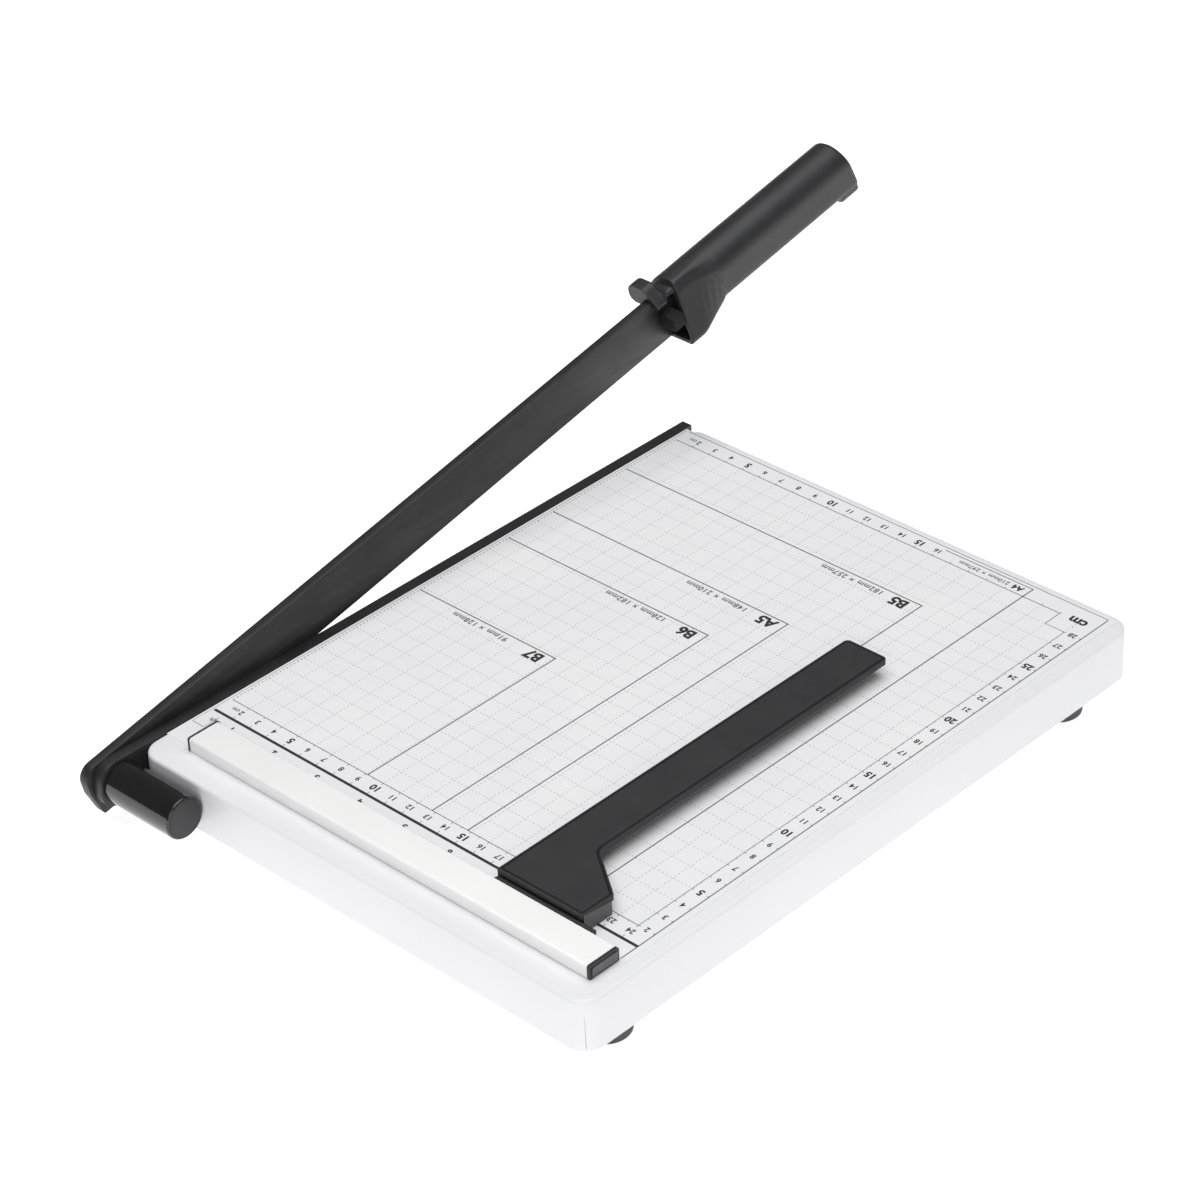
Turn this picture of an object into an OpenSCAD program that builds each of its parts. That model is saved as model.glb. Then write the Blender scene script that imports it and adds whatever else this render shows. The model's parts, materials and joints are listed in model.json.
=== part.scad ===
// Guillotine paper cutter for sheets up to A4 length: a pressed steel tray with a printed
// measuring sheet, a side bar that is the fixed blade, a raised blade arm on a sprung pivot,
// a paper fence and a back gauge that slides in it.
// Board frame used by every module: X = 0 is the cutting plane (+X outwards, to the user's
// right), Y = 0 is the paper face of the fence (+Y backwards, to the pivot), Z = 0 is the
// printed surface. place() moves that frame so that the whole cutter stands on Z = 0.

/* [Tray] */
// Depth of the tray in front of the fence face
tray_front = 303.6; // [240:0.1:480]
// Depth of the tray behind the fence face
tray_back = 29.2; // [24:0.1:40]
// Distance from the cutting plane to the tray's left wall
tray_left = 257; // [180:0.5:400]
// Height of the tray walls, from the printed surface to their lower edge
tray_h = 24; // [18:0.5:40]
// Sheet steel thickness
steel_t = 1.2; // [0.8:0.1:2]
// Radius of the tray's upright corners
corner_r = 9.5; // [3:0.5:12]
// Radius folded along the tray's top edge
edge_r = 1.6; // [1:0.1:2.5]
// Width of the two strips under the tray that carry the feet
rail_w = 48; // [40:1:60]

/* [Printed sheet] */
// Thickness of the printed sheet
sheet_t = 0.2; // [0.1:0.05:0.5]
// Bare margin between the sheet and the tray's left and front walls
sheet_margin = 3.5; // [1:0.5:10]

/* [Feet] */
// Foot height below the tray
foot_h = 7; // [4:0.5:15]
// Foot radius where it meets the tray
foot_r = 10.8; // [6:0.1:14]
// Foot radius at the table
foot_sole_r = 10.4; // [5:0.1:13]
// Distance from the tray's sides to the foot centres
foot_side = 12.5; // [12:0.5:20]
// Distance from the tray's front wall to the front foot centres
foot_front = 34.5; // [15:0.5:36]
// Distance from the tray's back wall to the back foot centres
foot_back = 23.5; // [15:0.5:30]
// Foot screw radius
foot_screw_r = 1.9; // [1.2:0.1:2.5]

/* [Fixed blade] */
// Thickness of the side bar
bar_t = 5.4; // [4:0.1:8]
// Height of the side bar below its cutting edge
bar_h = 20.5; // [20:0.1:30]
// How far the cutting edge stands above the printed surface
bar_proud = 0.2; // [0:0.05:1]
// Distance from the pivot axis to the side bar's back end
lug_l = 10.6; // [8:0.1:14]
// Radius of the side bar's lower back corner
lug_r = 7.5; // [4:0.5:10]
// Bolts that hold the side bar to the tray
bar_bolts = 4; // [3:1:8]
// Radius of those bolts
bar_bolt_r = 2.5; // [1.5:0.1:3]

/* [Pivot] */
// Pivot axis behind the fence face
pivot_y = 39.1; // [39:0.1:60]
// Pivot axis below the printed surface
pivot_drop = 10.4; // [10:0.1:14]
// Pivot bolt radius
bolt_r = 4; // [3:0.1:5]
// Bore of the bush is this much larger in radius than the bolt
bolt_clear = 0.05; // [0.02:0.01:0.1]
// Outer radius of the bush
bush_r = 6; // [5.6:0.1:7]
// Outer radius of the spring housing
housing_r = 9.5; // [9:0.1:9.6]
// Wall of the spring housing
housing_wall = 1.3; // [0.8:0.1:1.6]
// Length of the spring housing along the axis
housing_l = 39; // [30:0.5:60]
// Spring wire radius
wire_r = 0.75; // [0.4:0.05:0.9]
// Turns of the spring
spring_turns = 8; // [4:1:12]

/* [Blade arm] */
// Angle of the arm above the board as drawn
arm_angle = 12; // [4:1:60]
// Thickness of the arm
arm_t = 4.6; // [3:0.1:6]
// Running gap between the arm and the side bar
arm_gap = 0.06; // [0.02:0.01:0.2]
// Height of the arm's cutting edge below the pivot axis
arm_below = 13.6; // [11:0.1:16]
// Height of the arm's top edge above the pivot axis, at the handle
arm_above = 9.9; // [9:0.1:12]
// Height of the arm's top edge above the pivot axis, at the pivot
arm_above_back = 11; // [9:0.1:16]
// Distance from the pivot axis to the arm's back end
arm_back = 12.6; // [10:0.1:16]
// Height of the ground bevel on the arm's outer face
bevel_h = 6; // [3:0.5:9]
// Distance the arm's full height reaches beyond the tray's front wall, inside the handle
arm_reach = 4.5; // [4:0.5:10]
// Length of the narrower tang inside the handle
tang_l = 86; // [50:1:100]
// Height of the rubber stop on the arm's inner face
stop_h = 7; // [4:0.1:9]
// Depth of the stop's landing face below the pivot line
stop_drop = 4.5; // [3:0.1:7]
// How far the stop stands out from the arm's inner face
stop_out = 9.5; // [5:0.1:10]

/* [Handle] */
// Gap between the hood's front edge and the end of the side bar, along the arm
hood_gap = 2.5; // [2.4:0.1:5]
// Length of the handle from the hood's front edge
handle_l = 119.2; // [100:1:160]
// Width of the grip
grip_w = 22; // [18:0.5:30]
// Height of the grip above the pivot line
grip_above = 14.7; // [12.5:0.1:18]
// Depth of the grip below the pivot line
grip_below = 10.6; // [9:0.1:16]
// Radius of the grip's two lower edges
grip_edge_r = 5; // [3:0.5:8]
// How far the hood flares out over the board side of the arm
hood_flare = 12.8; // [9:0.1:18]
// Wall of the hood
hood_wall = 2; // [1.5:0.1:3]
// Length of the hood along the arm
hood_l = 30; // [22:1:45]
// How far the finger guard stands out past the arm
guard_out = 9.6; // [6:0.1:16]
// Thickness of the finger guard along the arm
guard_t = 6.6; // [4:0.1:10]
// Handle screw radius
handle_screw_r = 2; // [1.2:0.1:2.5]

/* [Fence] */
// Distance from the cutting plane to the fence's near end
fence_start = 22.6; // [18:0.1:60]
// Distance from the fence's far end to the tray's left wall
fence_end_gap = 11; // [6:0.1:30]
// Depth of the fence from its paper face
fence_d = 16; // [12:0.5:20]
// Height of the fence above the printed surface
fence_h = 6.2; // [5.8:0.1:9]
// Wall of the fence
fence_t = 1; // [0.8:0.1:1.4]
// Bottom of the guide slot in the paper face
slot_z = 2.2; // [1.8:0.1:2.4]
// Height of the guide slot
slot_h = 2; // [1.6:0.1:2.6]
// Thickness of the end cap's face
cap_t = 1.5; // [1:0.1:3]

/* [Back gauge] */
// Distance from the cutting plane to the gauge's stopping edge, as drawn
gauge_at = 181.3; // [150:0.1:185]
// Length of the gauge in front of the fence
gauge_l = 207.8; // [120:1:230]
// Width of the gauge's long arm
gauge_w = 22; // [14:0.1:28]
// Width of the gauge's foot along the fence
gauge_foot_w = 45.3; // [40:0.5:56]
// Depth of the gauge's foot, along its free side
gauge_foot_d = 19.5; // [14:0.1:30]
// Length over which the foot narrows to the arm
gauge_taper = 16.5; // [10:1:60]
// Bare gap between the fence and the gauge plate's back edge
gauge_back = 2.2; // [1.6:0.1:4]
// Length of the gauge's shoe along the fence
shoe_l = 52.4; // [45:0.1:56]
// Height of the gauge's top above the printed surface
gauge_top = 8.8; // [8:0.1:12]
// Thickness of the gauge plate
gauge_t = 2.4; // [1.6:0.1:3.4]
// Gap between the gauge and what it slides on
gauge_gap = 0.3; // [0.2:0.05:0.6]
// Gauge screw radius
gauge_screw_r = 1.5; // [1:0.1:2]

/* [Hidden] */
$fn = 64;
tray_right = bar_t;               // the tray ends against the side bar
pivot_z = -pivot_drop;
bar_top = bar_proud;
bar_bottom = bar_top - bar_h;
bar_front = tray_front + 0.2;
lug_back = pivot_y + lug_l;
foot_z = -tray_h - foot_h;

// Distances u are along the arm from the pivot axis, and v square to it.
arm_full = pivot_y + tray_front + arm_reach;
hood_u = pivot_y + bar_front + hood_gap;
handle_end = hood_u + handle_l;
guard_u = hood_u - guard_t - 4.2;
arm_mid = arm_gap + arm_t / 2;
tang_h = 15;
tang_end = arm_full + tang_l;
stop_u = pivot_y + bar_front - 5.9;
stop_l = 7;
slot_clear = 0.05;                // arm in the handle's slot, each side

// Pivot stack, outwards from the arm's outer face and inwards from the side bar
washer_t = 1.2;
washer_r = 8;
head_t = 2.6;
hex_r = 11 / 2 / cos(30);
nut_t = 5;
nut_r = 12 / 2 / cos(30);
flange_t = 1.2;
end_wall = 2;
housing_in_r = housing_r - housing_wall;
housing_x = -bar_t - housing_l;
bolt_end = housing_x + end_wall + 0.8;
nut_x = bolt_end + 1.3;
spring_x0 = -bar_t - flange_t;
spring_x1 = nut_x + nut_t + washer_t;
spring_r = (bolt_r + housing_in_r) / 2;

fence_left = tray_left - fence_end_gap;
fence_l = fence_left - fence_start;
plug_l = 4;                       // end cap's plug inside the fence
cap_rim = 1;                      // bare rim round the end cap's raised panel
cap_panel_t = 0.4;
near_cap_t = 0.6;
near_cap_lap = 0.3;               // how far the near cap stands proud of the fence
shoe_in = 5.4;                    // shoe depth inside the fence
shoe_x = -gauge_at - shoe_l;      // the shoe's far end
gauge_x = -gauge_at;
rib_t = 2.2;

// Overall reach, for the origin
lip_d = 3;                        // depth of the lip under the grip's free end
end_lean = 13.5;                    // slant of the grip's free end
hood_lean = 8.6;                  // slant of the hood's front edge
guard_x = arm_gap + arm_t + guard_out;
lip_back = 0.9;                   // the lip ends this far before the grip
lip_v = grip_below + lip_d;
front_reach = (handle_end - lip_back + tan(end_lean) * lip_v) * cos(arm_angle) + lip_v * sin(arm_angle) - pivot_y;
back_reach = pivot_y + arm_back * cos(arm_angle) + (arm_above_back - 6) * sin(arm_angle);
origin_x = (guard_x - tray_left) / 2;
origin_y = (back_reach - front_reach) / 2;

// ---- helpers ----

module place() translate([-origin_x, -origin_y, -foot_z]) children();

// Arm frame: X as the board's, -Y along the arm from the pivot, Z square to the arm.
module on_arm() place() translate([0, pivot_y, pivot_z]) rotate([-arm_angle, 0, 0]) children();

// A solid of the outline given in (x, v), from u0 over a length along the arm.
module along_arm(u0, len) translate([0, -u0, 0]) rotate([90, 0, 0]) linear_extrude(len) children();

// A cylinder along X from x0 to x1.
module rod_x(x0, x1, r) translate([x0, 0, 0]) rotate([0, 90, 0]) cylinder(h = x1 - x0, r = r);

module hex_x(x0, x1, r) translate([x0, 0, 0]) rotate([0, 90, 0]) cylinder(h = x1 - x0, r = r, $fn = 6);

// Corner p of an outline, rounded with radius r, between the corners before and after it.
function unit(v) = v / norm(v);
function round_corner(a, p, b, r, n) =
    r <= 0 ? [p] :
    let (
        ua = unit(a - p),
        ub = unit(b - p),
        half = acos(max(-1, min(1, ua * ub))) / 2,
        centre = p + unit(ua + ub) * r / sin(half),
        t0 = p + ua * r / tan(half),
        t1 = p + ub * r / tan(half),
        a0 = atan2(t0[1] - centre[1], t0[0] - centre[0]),
        a1 = atan2(t1[1] - centre[1], t1[0] - centre[0]),
        turn = a1 - a0 > 180 ? a1 - a0 - 360 : a1 - a0 < -180 ? a1 - a0 + 360 : a1 - a0
    )
    [for (i = [0:n]) centre + r * [cos(a0 + turn * i / n), sin(a0 + turn * i / n)]];

// Outline through corners [x, y, r], each rounded with its own radius.
function rounded(c, n = 8) = [
    for (i = [0:len(c) - 1])
        let (
            a = c[(i + len(c) - 1) % len(c)],
            p = c[i],
            b = c[(i + 1) % len(c)]
        )
        each round_corner([a[0], a[1]], [p[0], p[1]], [b[0], b[1]], p[2], n)
];

// ---- base ----

function tray_outline(inset) = let (r = corner_r - inset) rounded([
    [-tray_left + inset, -tray_front + inset, r],
    [-tray_right - inset, -tray_front + inset, r],
    [-tray_right - inset, tray_back - inset, r],
    [-tray_left + inset, tray_back - inset, r]
], 12);

function foot_spots() = [
    for (y = [-tray_front + foot_front, tray_back - foot_back])
        for (x = [-tray_left + foot_side, -tray_right - foot_side]) [x, y]
];

// Places of the side bar's bolts along Y, evenly spread along the tray.
function bar_bolt_spots() = [
    for (i = [0:bar_bolts - 1]) -tray_front + 24 + i * (tray_front + tray_back - 48) / (bar_bolts - 1)
];
bar_bolt_z = -tray_h / 2;

function fence_screw_spots() = [for (k = [0.08, 0.5, 0.92]) -fence_start - k * fence_l];
fence_screw_y = fence_d / 2 + 2;
fence_screw_r = 1.5;

module tray_block() {
    steps = 5;
    linear_extrude(tray_h - edge_r - sheet_t + 0.01) polygon(tray_outline(0));
    hull()
        for (i = [0:steps]) {
            a = 90 * i / steps;
            translate([0, 0, tray_h - sheet_t - edge_r + edge_r * sin(a) - 0.01])
                linear_extrude(0.01) polygon(tray_outline(edge_r * (1 - cos(a))));
        }
}

module tray() color([0.93, 0.93, 0.95]) place() difference() {
    translate([0, 0, -tray_h]) tray_block();
    translate([0, 0, -tray_h - 1])
        linear_extrude(tray_h + 1 - sheet_t - steel_t) polygon(tray_outline(steel_t));
    for (y = bar_bolt_spots())
        translate([0, y, bar_bolt_z]) rod_x(-bar_t - steel_t - 1, -bar_t + 1, bar_bolt_r);
    for (x = fence_screw_spots())
        translate([x, fence_screw_y, -sheet_t - steel_t - 1]) cylinder(h = steel_t + 2, r = fence_screw_r);
}

// Steel strip across the tray's open underside from y0, which carries two feet.
module foot_rail(y0) color([0.93, 0.93, 0.95]) place() difference() {
    intersection() {
        translate([0, 0, -tray_h]) linear_extrude(steel_t) polygon(tray_outline(steel_t));
        translate([-tray_left, y0, -tray_h - 1]) cube([tray_left, rail_w, steel_t + 2]);
    }
    for (p = foot_spots())
        translate([p[0], p[1], -tray_h - 1]) cylinder(h = steel_t + 2, r = foot_screw_r);
}

module print_sheet() color([0.88, 0.88, 0.90]) place() difference() {
    translate([0, 0, -sheet_t]) linear_extrude(sheet_t) polygon(rounded([
        [-tray_left + sheet_margin + 3, -tray_front + sheet_margin, 1.5],
        [-tray_right - 0.4, -tray_front + sheet_margin, 0],
        [-tray_right - 0.4, fence_d - 2, 0],
        [-tray_left + sheet_margin + 3, fence_d - 2, 0]
    ]));
    for (x = fence_screw_spots())
        translate([x, fence_screw_y, -1]) cylinder(h = 2, r = fence_screw_r);
}

module fixed_blade() color([0.13, 0.13, 0.14]) place() difference() {
    translate([-bar_t, 0, 0]) rotate([90, 0, 90]) linear_extrude(bar_t) polygon(rounded([
        [-bar_front, bar_bottom, 1],
        [lug_back, bar_bottom, lug_r],
        [lug_back, bar_top, 9],
        [-bar_front, bar_top, 0]
    ]));
    translate([0, pivot_y, pivot_z]) rod_x(-bar_t - 1, 1, bush_r);
    for (y = bar_bolt_spots())
        translate([0, y, bar_bolt_z]) rod_x(-bar_t - 1, -1.2, bar_bolt_r);
}

module fixed_blade_bolts() color([0.62, 0.63, 0.65]) place()
    for (y = bar_bolt_spots())
        translate([0, y, bar_bolt_z]) {
            rod_x(-bar_t - steel_t, -1.4, bar_bolt_r);
            hex_x(-bar_t - steel_t - 3.4, -bar_t - steel_t, 8 / 2 / cos(30));
        }

module foot(p) color([0.10, 0.10, 0.10]) place() translate([p[0], p[1], foot_z]) difference() {
    rotate_extrude() polygon([
        [0, 0], [foot_sole_r - 0.8, 0], [foot_sole_r, 0.8],
        [foot_r, foot_h - 1.2], [foot_r, foot_h], [0, foot_h]
    ]);
    translate([0, 0, -1]) cylinder(h = foot_h + 2, r = foot_screw_r);
    translate([0, 0, -1]) cylinder(h = 3.4, r = foot_screw_r + 2);
}

module foot_screws() color([0.70, 0.71, 0.72]) place()
    for (p = foot_spots())
        translate([p[0], p[1], foot_z]) {
            translate([0, 0, 2.4]) cylinder(h = foot_h + steel_t, r = foot_screw_r);
            translate([0, 0, 0.9]) cylinder(h = 1.5, r = foot_screw_r + 1.8);
        }

// ---- pivot, fixed side ----

module pivot_bush() color([0.72, 0.55, 0.28]) place() translate([0, pivot_y, pivot_z]) difference() {
    union() {
        rod_x(-bar_t, -0.1, bush_r);
        rod_x(-bar_t - flange_t, -bar_t, housing_in_r);
    }
    rod_x(-bar_t - flange_t - 1, 1, bolt_r + bolt_clear);
}

module spring_housing() color([0.14, 0.14, 0.15]) place() translate([0, pivot_y, pivot_z])
    rotate([0, -90, 0]) translate([0, 0, bar_t]) rotate_extrude() polygon(concat(
        [[housing_in_r, 0], [housing_r, 0]],
        [for (i = [0:6]) [
            housing_r - 1 + cos(90 * i / 6),
            housing_l - 1 + sin(90 * i / 6)
        ]],
        [[0, housing_l], [0, housing_l - end_wall], [housing_in_r, housing_l - end_wall]]
    ));

// Round wire swept along a helix about X.
module coil(x0, x1, radius, wire, turns) {
    sides = 8;
    per_turn = 16;
    rings = turns * per_turn;
    rise = x1 - x0;
    points = [
        for (i = [0:rings])
            for (j = [0:sides - 1])
                let (
                    a = 360 * i / per_turn,
                    b = 360 * j / sides,
                    r = radius + wire * cos(b)
                )
                [x0 + rise * i / rings + wire * sin(b), r * cos(a), r * sin(a)]
    ];
    walls = [
        for (i = [0:rings - 1])
            for (j = [0:sides - 1])
                let (k = (j + 1) % sides)
                [i * sides + j, (i + 1) * sides + j, (i + 1) * sides + k, i * sides + k]
    ];
    polyhedron(concat(points), concat(
        walls,
        [[for (j = [0:sides - 1]) j]],
        [[for (j = [sides - 1:-1:0]) rings * sides + j]]
    ));
}

module pivot_spring() color([0.60, 0.61, 0.63]) place() translate([0, pivot_y, pivot_z])
    coil(spring_x0 - wire_r - 0.05, spring_x1 + wire_r + 0.15, spring_r, wire_r, spring_turns);

// ---- fence ----

module fence_section() difference() {
    polygon(rounded([
        [0, 0, 0], [fence_d, 0, 0], [fence_d, fence_h, 1.2], [0, fence_h, 0.8]
    ]));
    translate([fence_t, fence_t]) square([fence_d - 2 * fence_t, fence_h - 2 * fence_t]);
    translate([-1, slot_z]) square([fence_t + 2, slot_h]);
}

module fence_rail() color([0.95, 0.95, 0.95]) place() difference() {
    translate([-fence_left, 0, 0]) rotate([90, 0, 90]) linear_extrude(fence_l) fence_section();
    for (x = fence_screw_spots())
        translate([x, fence_screw_y, -1]) cylinder(h = fence_t + 2, r = fence_screw_r);
}

// Outline of the end cap's plate, smaller by inset all round.
function cap_outline(inset) = rounded([
    [inset, inset, 0.4],
    [fence_d - inset, inset, 0.4],
    [fence_d - inset, fence_h - inset, 1.1],
    [inset, fence_h - inset, 0.8]
]);

module fence_end_cap() color([0.12, 0.12, 0.13]) place() {
    translate([-fence_left - cap_t, 0, 0]) rotate([90, 0, 90]) linear_extrude(cap_t) polygon(cap_outline(0));
    // raised panel on the plate's outer face
    translate([-fence_left - cap_t - cap_panel_t, 0, 0])
        rotate([90, 0, 90]) linear_extrude(cap_panel_t) polygon(cap_outline(cap_rim));
    translate([-fence_left, fence_t + 0.1, fence_t + 0.1])
        cube([plug_l, fence_d - 2 * fence_t - 0.2, fence_h - 2 * fence_t - 0.2]);
}

// Thin plug in the fence's near end; its plate stands a little proud all round.
module fence_near_cap() color([0.12, 0.12, 0.13]) place() {
    translate([-fence_start, 0, 0]) rotate([90, 0, 90]) linear_extrude(near_cap_t) polygon(rounded([
        [-near_cap_lap, 0.05, 0.3],
        [fence_d + near_cap_lap, 0.05, 0.3],
        [fence_d + near_cap_lap, fence_h + near_cap_lap, 1.2],
        [-near_cap_lap, fence_h + near_cap_lap, 0.8]
    ]));
    translate([-fence_start - plug_l, fence_t + 0.1, fence_t + 0.1])
        cube([plug_l, fence_d - 2 * fence_t - 0.2, fence_h - 2 * fence_t - 0.2]);
}

module fence_screws() color([0.70, 0.71, 0.72]) place()
    for (x = fence_screw_spots())
        translate([x, fence_screw_y, 0]) {
            translate([0, 0, -sheet_t - steel_t]) cylinder(h = sheet_t + steel_t + fence_t + 1, r = fence_screw_r);
            translate([0, 0, -sheet_t - steel_t - 1.6]) cylinder(h = 1.6, r = fence_screw_r + 1.4);
            translate([0, 0, fence_t]) cylinder(h = 1.4, r = fence_screw_r + 1, $fn = 6);
        }

// ---- arm ----

module blade_arm() color([0.15, 0.15, 0.16]) on_arm() difference() {
    union() {
        translate([arm_gap, 0, 0]) rotate([90, 0, 90]) linear_extrude(arm_t) polygon(rounded([
            [-arm_full, -arm_below, 0],
            [-arm_full, arm_above, 2],
            [arm_back, arm_above_back, 6.5],
            [arm_back, -1, 6],
            [arm_back - 3, -arm_below, 1.2]
        ], 12));
        translate([arm_gap, -tang_end, -tang_h / 2]) cube([arm_t, tang_end - arm_full + 5, tang_h]);
    }
    // ground bevel on the outer face
    translate([arm_gap + 0.6, -arm_full - 1, -arm_below])
        rotate([0, atan((arm_t - 0.6) / bevel_h), 0])
            translate([0, 0, -10]) cube([20, arm_full - 30, 10 + 2 * bevel_h]);
    rod_x(-1, arm_t + 2, bolt_r);
    for (u = handle_screw_spots())
        translate([0, -u, 0]) rod_x(-1, arm_t + 2, handle_screw_r);
}

function handle_screw_spots() = [hood_u + 48, hood_u + 82];

module arm_washer() color([0.66, 0.67, 0.68]) on_arm() difference() {
    rod_x(arm_gap + arm_t, arm_gap + arm_t + washer_t, washer_r);
    rod_x(0, arm_gap + arm_t + washer_t + 1, bolt_r);
}

module pivot_bolt() color([0.62, 0.63, 0.65]) on_arm() {
    rod_x(bolt_end, arm_gap + arm_t + washer_t, bolt_r);
    hex_x(arm_gap + arm_t + washer_t, arm_gap + arm_t + washer_t + head_t, hex_r);
}

module spring_washer() color([0.66, 0.67, 0.68]) on_arm() difference() {
    rod_x(nut_x + nut_t, nut_x + nut_t + washer_t, housing_in_r - 0.6);
    rod_x(nut_x, nut_x + nut_t + washer_t + 1, bolt_r);
}

module pivot_nut() color([0.66, 0.67, 0.68]) on_arm() difference() {
    hex_x(nut_x, nut_x + nut_t, nut_r);
    rod_x(nut_x - 1, nut_x + nut_t + 1, bolt_r);
}

module stop_block() color([0.10, 0.10, 0.10]) on_arm()
    translate([arm_gap - stop_out, -stop_u - stop_l, -stop_drop]) cube([stop_out, stop_l, stop_h]);

// Corners [x, v, radius] of the grip's outline, a half round on top of two flat sides. Two of
// the corners share the quarter round on the board side.
function grip_corners() =
    let (
        half = grip_w / 2,
        r = half - 0.2,
        facet = half * (1 - tan(22.5))
    )
    [
        [arm_mid - half, grip_above - facet, r],
        [arm_mid - half, -grip_below, grip_edge_r],
        [arm_mid + half, -grip_below, grip_edge_r],
        [arm_mid + half, grip_above, half - 0.1],
        [arm_mid - half + facet, grip_above, r]
    ];

// Corners of the hood's front edge: flat and flared over the board side of the arm, closed
// under the arm's lower edge, and round on the outer side as the grip is.
function hood_corners() = [
    [-4.8, grip_above - 5.3, 0.8],
    [-hood_flare, -arm_below - hood_wall, 2],
    [arm_mid + grip_w / 2, -arm_below - hood_wall, 3],
    [arm_mid + grip_w / 2, grip_above, grip_w / 2 - 0.5],
    [-2, grip_above - 0.5, 3]
];

// Corners of the neck, which joins the finger guard to the hood over the arm's back.
function neck_corners(dip) = [
    [-2, grip_above - 2 - dip, 1.5],
    [-2, grip_above - 6, 0.4],
    [guard_x - 4, -4, 3],
    [guard_x - 4, grip_above - 3 - dip, 4]
];

function taken_in(c, d) = [
    for (p = c) [p[0] - sign(p[0] - arm_mid) * d, p[1] - sign(p[1]) * d, max(0.4, p[2] - d)]
];
function mixed(a, b, t) = [for (i = [0:len(a) - 1]) a[i] * (1 - t) + b[i] * t];

// Outline through corners at u, slanted so that its top lies further from the pivot.
function ring(c, u, lean = 0) = [for (p = rounded(c, 8)) [p[0], -u - tan(lean) * p[1], p[1]]];

// Solid through rings of equally many points, each further from the pivot than the last.
module loft(rings) {
    m = len(rings[0]);
    last = len(rings) - 1;
    polyhedron([for (r = rings) each r], [
        [for (j = [0:m - 1]) j],
        [for (j = [m - 1:-1:0]) last * m + j],
        for (i = [0:last - 1])
            for (j = [0:m - 1])
                let (k = (j + 1) % m)
                each [
                    [i * m + k, i * m + j, (i + 1) * m + j],
                    [i * m + k, (i + 1) * m + j, (i + 1) * m + k]
                ]
    ]);
}

// How far the sweep has turned from hood to grip (second) at each part of the hood's length.
hood_steps = [[0.28, 0], [0.36, 0.05], [0.46, 0.2], [0.6, 0.43], [0.74, 0.66], [0.85, 0.84], [0.89, 1]];

// Hood and grip in one sweep, from the hood's open front to the grip's slanted end.
module grip_body() {
    loft([
        ring(hood_corners(), hood_u, hood_lean),
        for (s = hood_steps)
            ring(mixed(hood_corners(), grip_corners(), s[1]), hood_u + hood_l * s[0], hood_lean * (1 - s[1])),
        ring(grip_corners(), handle_end - 10),
        ring(grip_corners(), handle_end - 1.6, -end_lean),
        ring(taken_in(grip_corners(), 0.25), handle_end - 0.8, -end_lean),
        ring(taken_in(grip_corners(), 0.8), handle_end - 0.25, -end_lean),
        ring(taken_in(grip_corners(), 1.6), handle_end, -end_lean)
    ]);
    // lip under the free end
    loft([
        for (d = [12.5, lip_back])
            ring([for (p = taken_in(grip_corners(), 0.8)) p - [0, lip_d + 0.8, 0]], handle_end - d, -end_lean)
    ]);
}

module guard_tab() along_arm(guard_u, guard_t) polygon(rounded([
    [-3.6, grip_above - 5.6, 1.6],
    [-3.6, grip_above - 7.7, 0.8],
    [guard_x, grip_above - 8.4, 4.6],
    [guard_x, grip_above + 1.8, 4.6],
    [arm_mid + 1, grip_above + 2, 4]
], 12));

module neck() loft([
    for (t = [0:0.125:1])
        ring(neck_corners(1.6 * sin(180 * t)), guard_u + guard_t - 1 + (hood_u - guard_u - guard_t + 4) * t)
]);

module hood_hollow() loft([
    for (d = [-2, 9])
        ring([
            [-0.6, grip_above - 6, 0.6],
            [-hood_flare + hood_wall, -arm_below + 0.4, 1],
            [arm_mid, -arm_below + 0.4, 0.4],
            [arm_mid, grip_above - 6, 0.4]
        ], hood_u + d, hood_lean)
]);

module handle() color([0.16, 0.16, 0.17]) on_arm() difference() {
    union() {
        grip_body();
        guard_tab();
        neck();
    }
    hood_hollow();
    translate([arm_gap - slot_clear, -arm_full - slot_clear, -arm_below - slot_clear])
        cube([arm_t + 2 * slot_clear, 40, arm_below + arm_above + 0.3 + 2 * slot_clear]);
    translate([arm_gap - slot_clear, -tang_end - slot_clear, -tang_h / 2 - slot_clear])
        cube([arm_t + 2 * slot_clear, tang_end, tang_h + 2 * slot_clear]);
    for (u = handle_screw_spots()) translate([0, -u, 0]) {
        rod_x(-6, 30, handle_screw_r);
        rod_x(arm_mid + grip_w / 2 - 2.6, 30, handle_screw_r + 2);
    }
}

module handle_screws() color([0.62, 0.63, 0.65]) on_arm()
    for (u = handle_screw_spots()) translate([0, -u, 0]) difference() {
        union() {
            rod_x(-5.4, arm_mid + grip_w / 2 - 2.6, handle_screw_r);
            rod_x(arm_mid + grip_w / 2 - 2.6, arm_mid + grip_w / 2 - 0.8, handle_screw_r + 1.8);
        }
        hex_x(arm_mid + grip_w / 2 - 2, arm_mid + grip_w / 2, 1.5);
    }

// ---- back gauge ----

// Outline seen from above, in X and Y.
function gauge_outline() = rounded([
    [gauge_x, -gauge_back, 0.6],
    [gauge_x - gauge_foot_w, -gauge_back, 1.2],
    [gauge_x - gauge_foot_w, -gauge_foot_d, 2],
    [gauge_x - gauge_w, -gauge_foot_d - gauge_taper, 6],
    [gauge_x - gauge_w, -gauge_l, 2.2],
    [gauge_x, -gauge_l, 2.2]
]);

function gauge_screw_spots() = [for (d = [12, 28]) [gauge_x - d, -gauge_back - 4.6]];

tongue_z = slot_z + gauge_gap;
tongue_h = slot_h - 2 * gauge_gap;
tongue_d = 9;                     // how far the tongue reaches under the plate
foot_block = 8;

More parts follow.
